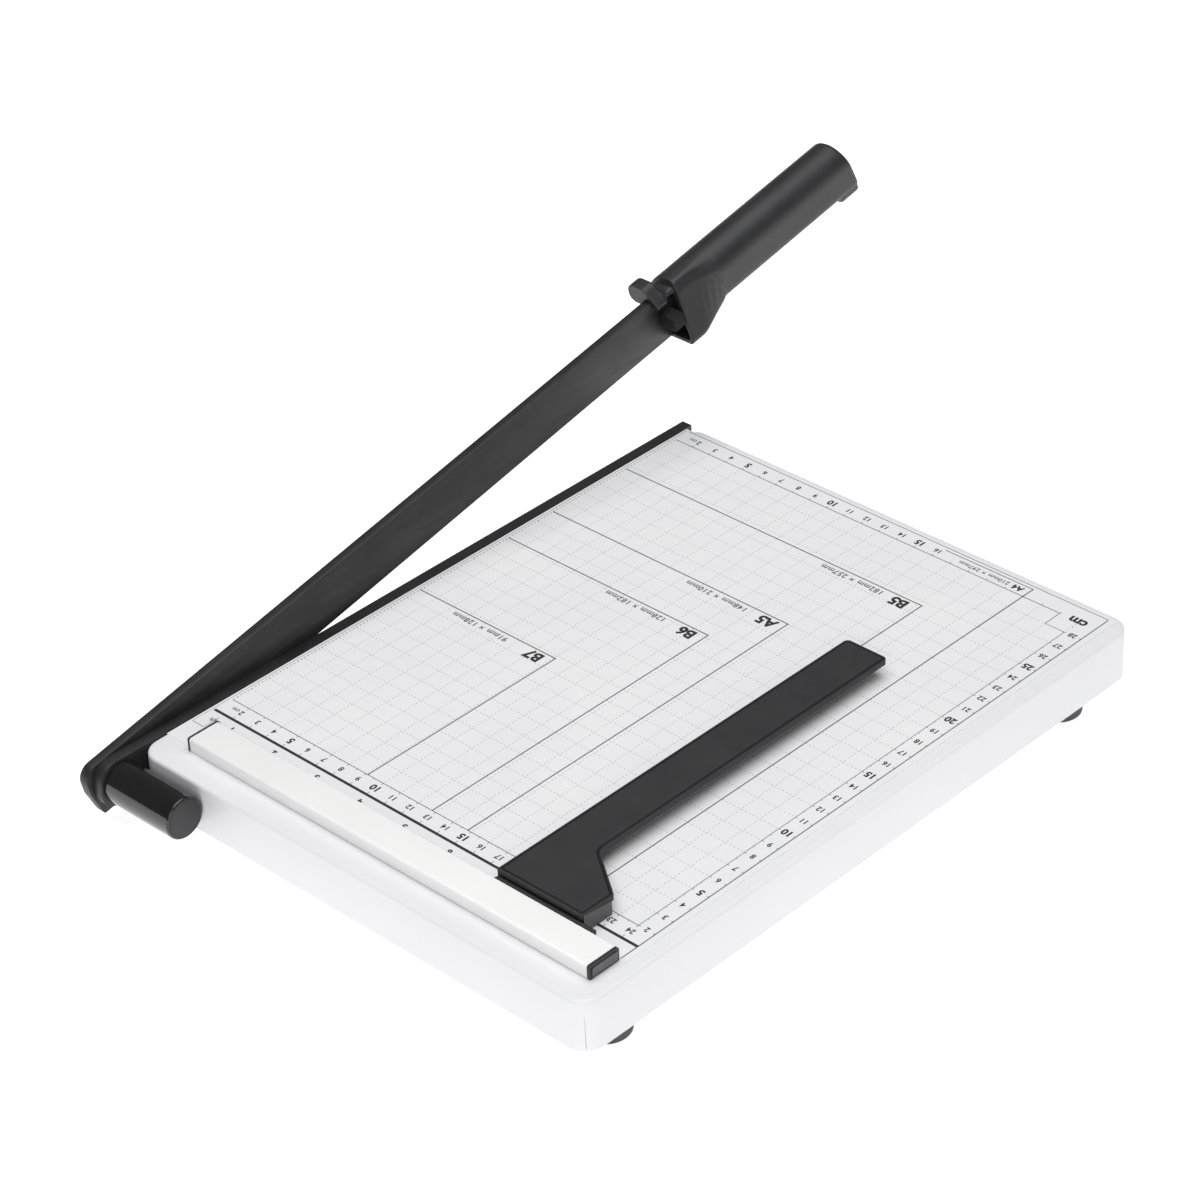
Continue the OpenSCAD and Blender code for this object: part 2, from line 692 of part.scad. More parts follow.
module gauge_plate() color([0.15, 0.15, 0.16]) place() difference() {
    union() {
        translate([0, 0, gauge_top - gauge_t]) linear_extrude(gauge_t) polygon(gauge_outline());
        // stop rib under the edge that the paper meets, down to the sheet
        translate([gauge_x - rib_t, -gauge_l + 3, gauge_gap])
            cube([rib_t, gauge_l - gauge_back - 3, gauge_top - gauge_gap - 0.5]);
        // block down to the sheet at the free end of the foot
        translate([gauge_x - gauge_foot_w, -gauge_foot_d + 1.4, gauge_gap])
            cube([foot_block, gauge_foot_d - gauge_back - 2.2, gauge_top - gauge_gap - 0.5]);
        for (p = gauge_screw_spots())
            translate([p[0], p[1], tongue_z + tongue_h]) cylinder(h = 4, r = 4);
    }
    for (p = gauge_screw_spots())
        translate([p[0], p[1], -1]) cylinder(h = gauge_top - 0.2, r = gauge_screw_r);
}

// Shoe that runs inside the fence, its tongue out through the slot and under the plate.
module gauge_shoe() color([0.20, 0.20, 0.21]) place() difference() {
    union() {
        // tongue under the plate
        translate([gauge_x - gauge_foot_w + foot_block + 2, -gauge_back - tongue_d, tongue_z])
            cube([gauge_foot_w - foot_block - rib_t - 3, tongue_d + 0.5, tongue_h]);
        // strip in front of the fence
        translate([shoe_x, -gauge_back, gauge_gap])
            cube([shoe_l - 0.4, gauge_back - gauge_gap, 5.6]);
        translate([shoe_x + 2, -gauge_gap - 0.5, tongue_z])
            cube([shoe_l - 4, 0.5 + gauge_gap + fence_t + gauge_gap + 1, tongue_h]);
        // runner inside the fence
        translate([shoe_x + 2, fence_t + gauge_gap, fence_t + gauge_gap])
            cube([shoe_l - 4, shoe_in, fence_h - 2 * fence_t - 2 * gauge_gap]);
    }
    for (p = gauge_screw_spots())
        translate([p[0], p[1], -1]) cylinder(h = gauge_top, r = gauge_screw_r);
}

module gauge_screws() color([0.70, 0.71, 0.72]) place()
    for (p = gauge_screw_spots()) translate([p[0], p[1], 0]) {
        translate([0, 0, tongue_z]) cylinder(h = gauge_top - slot_z - 2, r = gauge_screw_r);
        translate([0, 0, tongue_z - 1.4]) cylinder(h = 1.4, r = gauge_screw_r + 1.3);
    }

// ---- nodes ----

tray();
foot_rail(-tray_front);  // foot_rail_front
foot_rail(tray_back - rail_w);  // foot_rail_back
print_sheet();
fixed_blade();
fixed_blade_bolts();
foot(foot_spots()[0]);  // foot_front_left
foot(foot_spots()[1]);  // foot_front_right
foot(foot_spots()[2]);  // foot_back_left
foot(foot_spots()[3]);  // foot_back_right
foot_screws();
pivot_bush();
spring_housing();
pivot_spring();
fence_rail();
fence_end_cap();
fence_near_cap();
fence_screws();
blade_arm();
arm_washer();
pivot_bolt();
spring_washer();
pivot_nut();
stop_block();
handle();
handle_screws();
gauge_plate();
gauge_shoe();
gauge_screws();
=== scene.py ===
# Guillotine paper cutter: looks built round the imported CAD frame.
import json
import math
import bpy
import bmesh
from mathutils import Matrix, Vector


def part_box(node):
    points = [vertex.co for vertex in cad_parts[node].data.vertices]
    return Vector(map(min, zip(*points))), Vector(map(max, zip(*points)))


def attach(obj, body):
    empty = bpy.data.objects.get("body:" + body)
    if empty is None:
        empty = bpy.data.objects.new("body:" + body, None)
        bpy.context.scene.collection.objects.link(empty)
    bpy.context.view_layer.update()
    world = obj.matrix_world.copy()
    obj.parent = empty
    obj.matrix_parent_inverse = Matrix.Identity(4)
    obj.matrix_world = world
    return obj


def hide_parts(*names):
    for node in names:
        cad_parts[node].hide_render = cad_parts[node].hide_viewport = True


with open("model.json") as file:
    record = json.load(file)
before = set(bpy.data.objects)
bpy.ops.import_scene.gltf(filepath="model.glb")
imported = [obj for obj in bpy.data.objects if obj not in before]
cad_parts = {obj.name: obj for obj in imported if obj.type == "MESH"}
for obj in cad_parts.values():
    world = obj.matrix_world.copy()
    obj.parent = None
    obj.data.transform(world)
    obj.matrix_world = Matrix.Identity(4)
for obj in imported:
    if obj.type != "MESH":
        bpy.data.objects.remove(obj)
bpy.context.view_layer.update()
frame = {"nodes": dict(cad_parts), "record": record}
MM = 0.001
WELD = 0.000004               # vertices closer than this, in metres, become one

# Board frame in millimetres: x = 0 is the cutting plane, y = 0 the fence's face, z = 0 the print.
ORIGIN = Vector((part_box("fixed_blade")[1].x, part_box("fence_rail")[0].y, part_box("print_sheet")[1].z))
PIVOT = Vector(frame["record"]["behaviour"]["joints"][0]["pos_m"])


def board(x, y, z):
    """Row-frame point, in metres, of a point given in the board frame."""
    return ORIGIN + Vector((x, y, z)) * MM


# ---- materials ----

def shader(name):
    m = bpy.data.materials.new(name)
    m.use_nodes = True
    nt = m.node_tree
    bsdf = nt.nodes["Principled BSDF"]
    coord = nt.nodes.new("ShaderNodeTexCoord")
    return m, nt, bsdf, coord


def noise(nt, coord, scale, detail=3.0, stretch=None, rough=0.55):
    n = nt.nodes.new("ShaderNodeTexNoise")
    n.inputs["Scale"].default_value = scale
    n.inputs["Detail"].default_value = detail
    n.inputs["Roughness"].default_value = rough
    if stretch:
        mp = nt.nodes.new("ShaderNodeMapping")
        mp.inputs["Scale"].default_value = stretch
        nt.links.new(coord.outputs["Object"], mp.inputs["Vector"])
        nt.links.new(mp.outputs["Vector"], n.inputs["Vector"])
    else:
        nt.links.new(coord.outputs["Object"], n.inputs["Vector"])
    return n.outputs["Fac"]


def remap(nt, value, lo, hi, a=0.3, b=0.7):
    m = nt.nodes.new("ShaderNodeMapRange")
    m.inputs["From Min"].default_value = a
    m.inputs["From Max"].default_value = b
    m.inputs["To Min"].default_value = lo
    m.inputs["To Max"].default_value = hi
    nt.links.new(value, m.inputs["Value"])
    return m.outputs["Result"]


def ramp(nt, value, c0, c1, a=0.3, b=0.7):
    r = nt.nodes.new("ShaderNodeValToRGB")
    r.color_ramp.elements[0].position = a
    r.color_ramp.elements[1].position = b
    r.color_ramp.elements[0].color = (*c0, 1)
    r.color_ramp.elements[1].color = (*c1, 1)
    nt.links.new(value, r.inputs["Fac"])
    return r.outputs["Color"]


def bump(nt, bsdf, value, distance, strength=1.0):
    b = nt.nodes.new("ShaderNodeBump")
    b.inputs["Strength"].default_value = strength
    b.inputs["Distance"].default_value = distance
    nt.links.new(value, b.inputs["Height"])
    nt.links.new(b.outputs["Normal"], bsdf.inputs["Normal"])


def coated(name, dark, light, scale=14, rough=(0.4, 0.5), grain=900, depth=0.00003, metallic=0.0,
           stretch=None, specular=0.5, coat=0.0):
    """A finish with a slow change of tone, a fine change of gloss and a surface grain."""
    m, nt, bsdf, coord = shader(name)
    nt.links.new(ramp(nt, noise(nt, coord, scale), dark, light), bsdf.inputs["Base Color"])
    fine = noise(nt, coord, grain, 2.0, stretch)
    nt.links.new(remap(nt, fine, *rough), bsdf.inputs["Roughness"])
    bump(nt, bsdf, fine, depth)
    bsdf.inputs["Metallic"].default_value = metallic
    bsdf.inputs["Specular IOR Level"].default_value = specular
    bsdf.inputs["Coat Weight"].default_value = coat
    return m


WHITE = coated("white_paint", (0.81, 0.81, 0.83), (0.835, 0.835, 0.855), 9, (0.36, 0.48), 700, 0.00002)
SHEET = coated("printed_sheet", (0.83, 0.83, 0.845), (0.86, 0.86, 0.87), 22, (0.42, 0.55), 1400, 0.00001)
FENCE = coated("fence_white", (0.92, 0.92, 0.915), (0.945, 0.945, 0.94), 30, (0.32, 0.44), 1100, 0.00001)
STEEL = coated("black_steel", (0.018, 0.018, 0.019), (0.027, 0.027, 0.028), 60, (0.36, 0.50), 260,
               0.00003, stretch=(1.0, 0.12, 1.0), specular=0.42)
GRIP = coated("grip_plastic", (0.013, 0.013, 0.015), (0.022, 0.022, 0.024), 45, (0.40, 0.54), 1500,
              0.00004, specular=0.6)
GAUGE = coated("gauge_plastic", (0.022, 0.022, 0.024), (0.030, 0.030, 0.032), 50, (0.46, 0.60), 1700,
               0.00004, specular=0.42)
# Darker, less glossy copy of the gauge plastic for the sloping border of its top: painted shade.
GAUGE_BORDER_SHADE = coated("gauge_border_shade", (0.005, 0.005, 0.006), (0.009, 0.009, 0.010), 50, (0.5, 0.62), 1700,
                    0.00004, specular=0.25)
GAUGE_PALE = coated("gauge_pale", (0.10, 0.10, 0.103), (0.13, 0.13, 0.133), 60, (0.46, 0.60), 1700, 0.00004)
TUBE = coated("gloss_tube", (0.006, 0.006, 0.007), (0.010, 0.010, 0.011), 70, (0.10, 0.17), 400,
              0.000004, coat=0.5)
TUBE_END = coated("tube_end", (0.034, 0.034, 0.036), (0.044, 0.044, 0.046), 90, (0.4, 0.55), 1300,
                  0.00002, specular=0.3)
STOP = coated("stop_rubber", (0.010, 0.010, 0.010), (0.018, 0.018, 0.018), 120, (0.66, 0.85), 1100,
              0.00005, specular=0.25)
FOOT = coated("foot_rubber", (0.050, 0.050, 0.052), (0.070, 0.070, 0.072), 120, (0.6, 0.8), 1100, 0.00005)
ZINC = coated("zinc", (0.50, 0.51, 0.53), (0.66, 0.67, 0.69), 160, (0.24, 0.42), 900, 0.00001, 1.0)
BRONZE = coated("bronze", (0.42, 0.27, 0.12), (0.56, 0.38, 0.18), 160, (0.32, 0.5), 900, 0.00001, 1.0)
CAP = coated("cap_plastic", (0.020, 0.020, 0.022), (0.030, 0.030, 0.032), 120, (0.40, 0.52), 1500, 0.00003)
CAP_PANEL = coated("cap_panel", (0.10, 0.10, 0.103), (0.13, 0.13, 0.133), 120, (0.40, 0.52), 1500, 0.00003)
SEAM = coated("corner_shadow", (0.40, 0.40, 0.41), (0.50, 0.50, 0.51), 300, (0.5, 0.65), 2500, 0.000004)
INK = coated("ink_black", (0.018, 0.018, 0.020), (0.032, 0.032, 0.034), 300, (0.5, 0.65), 2500, 0.000004)
INK_GREY = coated("ink_grey", (0.13, 0.13, 0.14), (0.17, 0.17, 0.18), 300, (0.5, 0.65), 2500, 0.000004)
INK_FAINT = coated("ink_faint", (0.42, 0.42, 0.44), (0.47, 0.47, 0.49), 300, (0.5, 0.65), 2500, 0.000004)

FINISH = {
    "tray": WHITE, "foot_rail_front": WHITE, "foot_rail_back": WHITE, "print_sheet": SHEET,
    "fixed_blade": STEEL, "fixed_blade_bolts": ZINC, "foot_front_left": FOOT, "foot_front_right": FOOT,
    "foot_back_left": FOOT, "foot_back_right": FOOT, "foot_screws": ZINC, "pivot_bush": BRONZE,
    "spring_housing": TUBE, "pivot_spring": ZINC, "fence_rail": FENCE, "fence_end_cap": CAP,
    "fence_near_cap": CAP, "fence_screws": ZINC, "blade_arm": STEEL, "arm_washer": ZINC,
    "pivot_bolt": ZINC, "spring_washer": ZINC, "pivot_nut": ZINC, "stop_block": STOP, "handle": GRIP,
    "handle_screws": ZINC, "gauge_plate": GAUGE, "gauge_shoe": GAUGE, "gauge_screws": ZINC,
}
# Width in millimetres of the small round along each node's edges.
EDGE = {
    "tray": 0.3, "fixed_blade": 0.25, "fence_rail": 0.3, "fence_end_cap": 0.3, "blade_arm": 0.35,
    "arm_washer": 0.2, "pivot_bolt": 0.4, "stop_block": 0.5, "handle_screws": 0.15,
    "gauge_plate": 0.5, "gauge_shoe": 0.3, "foot_front_left": 0.4, "foot_front_right": 0.4,
    "foot_back_left": 0.4, "foot_back_right": 0.4, "fixed_blade_bolts": 0.3, "pivot_nut": 0.3,
}
EDGE_ANGLE = 38               # degrees; sharper edges than this are rounded
HANDLE_VOXEL = 0.36           # millimetres
HANDLE_PASSES = 22
PALE_REACH = 3.0              # millimetres from the gauge foot's free end that its pale faces take in
PALE_BELOW_TOP = 2.2          # and how far under the gauge's top they end


def weld(obj):
    obj.modifiers.new("weld", "WELD").merge_threshold = WELD


def finish_mesh(obj, edge):
    """Welds the mesh in its modifiers, rounds its sharp edges and shades it smooth."""
    for f in obj.data.polygons:
        f.use_smooth = True
    weld(obj)
    bev = obj.modifiers.new("round", "BEVEL")
    bev.width = edge * MM
    bev.segments = 3
    bev.limit_method = "ANGLE"
    bev.angle_limit = math.radians(EDGE_ANGLE)
    bev.harden_normals = True
    bev.use_clamp_overlap = True


def moulded(obj, voxel, passes):
    """Softens every edge of a moulded piece in its modifiers: an even fine mesh, then smoothed."""
    weld(obj)
    even = obj.modifiers.new("even", "REMESH")
    even.mode = "VOXEL"
    even.voxel_size = voxel * MM
    even.use_smooth_shade = True
    soft = obj.modifiers.new("soft", "SMOOTH")
    soft.factor = 0.5
    soft.iterations = passes


def pale_foot_end(plate):
    """Gives the free end of the gauge's foot a paler grey than its top."""
    plate.data.materials.append(GAUGE_PALE)
    lo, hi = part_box("gauge_plate")
    for f in plate.data.polygons:
        near_end = f.center.x < lo.x + PALE_REACH * MM
        under_top = f.center.z < hi.z - PALE_BELOW_TOP * MM
        if f.normal.x < -0.9 and near_end and under_top:
            f.material_index = 1


for name, node in frame["nodes"].items():
    node.data.materials.clear()
    node.data.materials.append(FINISH[name])
    if name in EDGE:
        finish_mesh(node, EDGE[name])
pale_foot_end(frame["nodes"]["gauge_plate"])
moulded(frame["nodes"]["handle"], HANDLE_VOXEL, HANDLE_PASSES)


# ---- pieces ----

def piece(name, bm, material, body, *stands_for, smooth=True):
    """Object made from bm that rides on a body and can stand for CAD nodes."""
    me = bpy.data.meshes.new(name)
    bm.normal_update()
    bm.to_mesh(me)
    bm.free()
    for f in me.polygons:
        f.use_smooth = smooth
    ob = bpy.data.objects.new(name, me)
    bpy.context.scene.collection.objects.link(ob)
    for m in (material if isinstance(material, (list, tuple)) else [material]):
        me.materials.append(m)
    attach(ob, body)
    if stands_for:
        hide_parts(*stands_for)
    return ob


def strip(bm, a, b, material_index=0):
    """Faces between two closed rings of vertices, or between a ring and a single point."""
    for i in range(len(a)):
        j = (i + 1) % len(a)
        corners = [a[i], a[j], b[j], b[i]] if len(b) > 1 else [a[i], a[j], b[0]]
        bm.faces.new(corners).material_index = material_index


def lathe(bm, profile, material_index, segments=96):
    """Surface through (x, radius) points turned about the pivot axis, in millimetres."""
    rings = []
    for x, r in profile:
        if r == 0:
            rings.append([bm.verts.new((ORIGIN.x + x * MM, PIVOT.y, PIVOT.z))])
            continue
        rings.append([bm.verts.new((ORIGIN.x + x * MM,
                                    PIVOT.y + r * MM * math.cos(2 * math.pi * i / segments),
                                    PIVOT.z + r * MM * math.sin(2 * math.pi * i / segments)))
                      for i in range(segments)])
    for a, b in zip(rings, rings[1:]):
        strip(bm, a, b, material_index)


def rounded(corners, inset=0.0, steps=8):
    """Outline through (x, y, radius) corners given anticlockwise, moved inwards and rounded."""
    out = []
    n = len(corners)
    moved = []
    for i, (x, y, r) in enumerate(corners):
        ax, ay, _ = corners[i - 1]
        bx, by, _ = corners[(i + 1) % n]
        u = Vector((x - ax, y - ay)).normalized()
        v = Vector((bx - x, by - y)).normalized()
        nu, nv = Vector((-u.y, u.x)), Vector((-v.y, v.x))
        m = (nu + nv) / (1 + nu.dot(nv))
        left_turn = u.x * v.y - u.y * v.x > 0
        moved.append((Vector((x, y)) + m * inset, max(0.3, r - inset if left_turn else r + inset), u, v))
    for p, r, u, v in moved:
        half = math.acos(max(-1, min(1, (-u).dot(v)))) / 2
        centre = p + (v - u).normalized() * (r / math.sin(half))
        t0, t1 = p - u * (r / math.tan(half)), p + v * (r / math.tan(half))
        a0 = math.atan2(t0.y - centre.y, t0.x - centre.x)
        turn = math.atan2(t1.y - centre.y, t1.x - centre.x) - a0
        turn = (turn + math.pi) % (2 * math.pi) - math.pi
        for k in range(steps + 1):
            a = a0 + turn * k / steps
            out.append((centre.x + r * math.cos(a), centre.y + r * math.sin(a)))
    return out


# Tube round the pivot spring, in millimetres from the cutting plane.
TUBE_R, TUBE_LUG_X, TUBE_END_X = 9.5, -5.4, -44.4
TUBE_WALL = 1.3               # what shows of the wall at the lug
RIM_R, RIM_STEPS = 0.9, 8
HOLD = 0.4                    # distance of the rings that keep the side straight
GROOVE_X = TUBE_END_X + 0.2   # bottom of the groove round the flat end
PLATE_X = TUBE_END_X + 0.02   # the flat end
PLATE_RING = 4
GROOVE_STEPS = (0.12, 0.3, 0.42)                # its edges and the flat end, inside the rim


def spring_tube():
    """Glossy tube: its side with a rounded rim, then the flat end with a groove round it."""
    bm = bmesh.new()
    side = [(TUBE_LUG_X, TUBE_R - TUBE_WALL), (TUBE_LUG_X, TUBE_R), (TUBE_LUG_X - HOLD, TUBE_R),
            (TUBE_END_X + RIM_R + HOLD, TUBE_R)]
    for i in range(RIM_STEPS + 1):
        turn = math.pi / 2 * i / RIM_STEPS
        side.append((TUBE_END_X + RIM_R - RIM_R * math.sin(turn), TUBE_R - RIM_R + RIM_R * math.cos(turn)))
    lathe(bm, side, 0)
    lip = TUBE_R - RIM_R
    groove_outer, groove_inner, plate_r = (lip - step for step in GROOVE_STEPS)
    lathe(bm, [(TUBE_END_X, lip), (GROOVE_X, groove_outer), (GROOVE_X, groove_inner)], 0)
    lathe(bm, [(GROOVE_X, groove_inner), (PLATE_X, plate_r)], 1)
    lathe(bm, [(PLATE_X, plate_r), (PLATE_X, PLATE_RING), (PLATE_X, 0)], 1)
    bmesh.ops.recalc_face_normals(bm, faces=bm.faces)
    tube = piece("spring_tube", bm, [TUBE, TUBE_END], "base", "spring_housing")


# Outline of the back gauge's top, as (x, y, radius).
GAUGE_X, GAUGE_W, GAUGE_FOOT, GAUGE_L, GAUGE_TOP = -181.3, 22, 45.3, 207.8, 8.8
GAUGE_CORNERS = [
    (GAUGE_X, -2.2, 0.6), (GAUGE_X - GAUGE_FOOT, -2.2, 1.2), (GAUGE_X - GAUGE_FOOT, -19.5, 2),
    (GAUGE_X - GAUGE_W, -36, 6), (GAUGE_X - GAUGE_W, -GAUGE_L, 2.2), (GAUGE_X, -GAUGE_L, 2.2),
]
# Rings of its border, as distance inside the outline and height over the top.
GAUGE_RINGS = ((0.45, -0.05), (1.7, 0.32), (1.9, 0.36))


def gauge_face():
    """Raised face of the back gauge, its sloping border in a darker copy of the gauge plastic as painted
    shade.
    """
    bm = bmesh.new()
    rims = []
    for inset, rise in GAUGE_RINGS:
        rims.append([bm.verts.new(board(x, y, GAUGE_TOP + rise)) for x, y in rounded(GAUGE_CORNERS, inset)])
    # The sloping border gets the darker copy of the plastic: painted shade.
    strip(bm, rims[0], rims[1], 1)
    strip(bm, rims[1], rims[2])
    bm.faces.new([bm.verts.new(v.co) for v in rims[-1]])
    bmesh.ops.recalc_face_normals(bm, faces=bm.faces)
    top = piece("gauge_face", bm, [GAUGE, GAUGE_BORDER_SHADE], "gauge")
    if top.data.polygons[-1].normal.z < 0:
        top.data.flip_normals()


CAP_X, CAP_D, CAP_H = -247.9, 16, 6.2
# Rings of the panel, as distance inside the cap's outline and height over its end.
CAP_RINGS = ((1.1, 0.01), (1.5, 0.06), (1.7, 0.06))


def cap_panel():
    """Light panel on the fence's end cap."""
    bm = bmesh.new()
    rings = []
    for inset, rise in CAP_RINGS:
        outline = rounded([(inset, inset, 0.4), (CAP_D - inset, inset, 0.4),
                           (CAP_D - inset, CAP_H - inset, 0.9), (inset, CAP_H - inset, 0.7)], 0, 4)
        rings.append([bm.verts.new(board(CAP_X - rise, y, z)) for y, z in outline])
    for a, b in zip(rings, rings[1:]):
        strip(bm, a, b)
    bm.faces.new(rings[-1])
    bmesh.ops.recalc_face_normals(bm, faces=bm.faces)
    panel = piece("fence_cap_panel", bm, CAP_PANEL, "base", smooth=False)
    if panel.data.polygons[-1].normal.x > 0:
        panel.data.flip_normals()


CORNER_R = 9.5                # radius of the tray's corners
SEAM_LOW, SEAM_HIGH = 1.5, 16.5
SEAM_HALF = 0.11              # half of a slit's width at its foot
SEAM_TAPER = 0.4              # width of a slit at its top as a share of its foot
SEAM_PROUD = 0.02             # how far a slit stands off the wall


def corner_seams():
    """Fine slits where the folded walls meet, in the middle of the tray's rounded left corners."""
    tray_lo, tray_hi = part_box("tray")
    into = CORNER_R * (1 - math.sqrt(0.5)) * MM
    bm = bmesh.new()
    for y, away in ((tray_hi.y - into, 1), (tray_lo.y + into, -1)):
        slit = []
        for side, height in ((-1, SEAM_LOW), (1, SEAM_LOW),
                             (SEAM_TAPER, SEAM_HIGH), (-SEAM_TAPER, SEAM_HIGH)):
            slit.append(bm.verts.new((tray_lo.x + into - (side * SEAM_HALF + SEAM_PROUD) * MM,
                                      y + away * (SEAM_PROUD - side * SEAM_HALF) * MM,
                                      tray_lo.z + height * MM)))
        bm.faces.new(slit)
    seam = piece("tray_corner_seams", bm, SEAM, "base", smooth=False)


# ---- print on the sheet, in millimetres from the cutting plane and the fence ----

INK_Z = 0.03
GRID_Z = 0.02
CM = 10
INCH = 25.4
ZERO = 1.4                    # the print's zero lies this far outside the cutting plane
EDGE_X = ZERO - 9.9           # border beside the blade
TRIM_X = EDGE_X + 1.5         # fine line outside that border
MARK_X = EDGE_X - 5.5         # short mark at the fence's near end
BAND_X = ZERO - 240.0         # inner line of the left band
LEFT_X = ZERO - 248.6         # outer line of the left band
BOX_X, BOX_Y = -228.4, -280   # corner box at the far left
HEAVY_Y = -10.3               # heavy line beside the fence
HEAD_Y = -19.9                # inner line of the band beside the fence
FAR_Y = -290.0                # inner line of the front band
END_Y = -299.0                # outer line of the front band
SIDE_LINE = (-298.6, -1)      # ends of the left band's outer line
TRIM_LINE = (-298.9, 1)       # ends of the fine line beside the blade
MARK_LINE = (-7.5, 1)         # ends of the short mark
HEAVY_TICK = (-12.4, -11)     # ends of the ticks at the heavy line
DASH_START, GRID_START = -20.0, -21.0
LAST_ACROSS, LAST_ALONG = 24, 28

# Widths of the lines.
HEAVY_W, SIZE_W, SIDE_W, A4_W, FAR_W, RULE_W = 1.45, 0.62, 0.55, 0.5, 0.45, 0.4
BOX_W, DASH_W, TICK_W, HALF_TICK_W, TRIM_W = 0.34, 0.32, 0.3, 0.25, 0.22
# Lengths of the ruler's ticks and of the dashes.
TICK, SIDE_TICK, HALF_TICK = 1.2, 1.1, 0.7
DASH, DOT, DASH_PITCH = 1.0, 0.8, 2.0

SIZES = {"B7": (91, 128), "B6": (128, 182), "A5": (148, 210), "B5": (182, 257), "A4": (210, 297)}
A4_SHOWN = 48                 # length of the A4 sheet's far line that is printed


def quad(bm, x0, y0, x1, y1, z=INK_Z):
    """Flat rectangle on the sheet, facing up."""
    vs = [bm.verts.new(board(x, y, z)) for x, y in ((x0, y0), (x1, y0), (x1, y1), (x0, y1))]
    f = bm.faces.new(vs)
    f.normal_update()
    if f.normal.z < 0:
        f.normal_flip()


def across(bm, x0, x1, y, w, z=INK_Z):
    quad(bm, x0, y - w / 2, x1, y + w / 2, z)


def along(bm, x, y0, y1, w, z=INK_Z):
    quad(bm, x - w / 2, y0, x + w / 2, y1, z)


def borders(bm):
    across(bm, BAND_X, EDGE_X, HEAD_Y, RULE_W)
    along(bm, LEFT_X, *SIDE_LINE, SIDE_W)
    along(bm, BAND_X, BOX_Y, HEAD_Y, BOX_W)
    across(bm, BAND_X, BOX_X, BOX_Y, BOX_W)
    along(bm, BOX_X, FAR_Y, BOX_Y, BOX_W)
    across(bm, BOX_X, EDGE_X, FAR_Y, FAR_W)
    across(bm, LEFT_X, EDGE_X, END_Y, RULE_W)


def sheet_outlines(bm):
    for code, (w, h) in SIZES.items():
        along(bm, ZERO - w, -h, HEAD_Y, SIZE_W)
        if code == "A4":
            across(bm, ZERO - w - A4_W / 2, ZERO - w + A4_SHOWN, -h, A4_W)
        else:
            across(bm, ZERO - w - SIZE_W / 2, EDGE_X, -h, SIZE_W)


def ticks(bm):
    for n in range(2, LAST_ACROSS + 1):
        x = ZERO - CM * n
        along(bm, x, HEAD_Y, HEAD_Y + TICK, TICK_W)
        along(bm, x, *HEAVY_TICK, TICK_W)
        if n > 2:
            along(bm, x + CM / 2, HEAD_Y, HEAD_Y + HALF_TICK, HALF_TICK_W)
        if n < LAST_ACROSS:
            along(bm, x, FAR_Y - TICK, FAR_Y, TICK_W)
    for n in range(2, LAST_ALONG + 1):
        y = -CM * n
        across(bm, BAND_X - SIDE_TICK, BAND_X, y, TICK_W)
        across(bm, LEFT_X, LEFT_X + SIDE_TICK, y, TICK_W)
        across(bm, BAND_X - HALF_TICK, BAND_X, y - CM / 2, HALF_TICK_W)


def blade_border(bm):
    """Dashed border beside the blade, with the fine line and the short marks outside it."""
    y = DASH_START
    while y > FAR_Y:
        along(bm, EDGE_X, y - DASH, y, DASH_W)
        y -= DASH_PITCH
    along(bm, TRIM_X, *TRIM_LINE, TRIM_W)
    across(bm, MARK_X, TRIM_X, TRIM_LINE[1], TICK_W)
    along(bm, MARK_X, *MARK_LINE, TICK_W)


def grid(bm):
    for n in range(2, LAST_ACROSS + 1):
        y = GRID_START
        while y > FAR_Y + 1:
            along(bm, ZERO - CM * n, y - DOT, y, BOX_W, GRID_Z)
            y -= DASH_PITCH
    for n in range(3, LAST_ALONG + 1):
        x = BAND_X + 1
        while x < EDGE_X - 1:
            across(bm, x, x + DOT, -CM * n, BOX_W, GRID_Z)
            x += DASH_PITCH


def printed_lines():
    heavy, grey, faint = bmesh.new(), bmesh.new(), bmesh.new()
    across(heavy, LEFT_X, EDGE_X + 0.6, HEAVY_Y, HEAVY_W)
    borders(grey)
    sheet_outlines(grey)
    ticks(grey)
    blade_border(grey)
    grid(faint)
    piece("print_heavy_line", heavy, INK, "base", smooth=False)
    piece("print_lines", grey, INK_GREY, "base", smooth=False)
    piece("print_grid", faint, INK_FAINT, "base", smooth=False)


CAP_SHARE = 0.69              # height of a capital as a share of the font's size
BOLD, REGULAR = 0.06, 0.038   # how far letters are thickened, as a share of their height
BIG_CAP, SMALL_CAP, UNIT_CAP = 3.4, 2.7, 2.2
UNIT_X = ZERO - 18.2          # "cm" at the start of a ruler
HEAD_TEXT_Y, HEAD_UNIT_Y = -15.5, -15.7         # rows of text beside the fence
FRONT_TEXT_Y, FRONT_UNIT_Y = -294.3, -294.5     # and in the front band
INCH_TEXT_Y, INCH_UNIT_Y = -5.2, -4.6
LAST_FRONT, LAST_INCH = 16, 9
CODE_CAP, CODE_RISE = 5.6, 4.5                  # letters of a sheet's code, and their height over its line
DIMS_CAP, DIMS_RISE = 3.0, 3.6                  # the same for its dimensions
# Gaps from a sheet's side line to its code and to its dimensions.
LABELS = {"B7": (4.2, 25.2), "B6": (4.2, 21.4), "A5": (3.6, 20.2), "B5": (5.0, 18.6)}


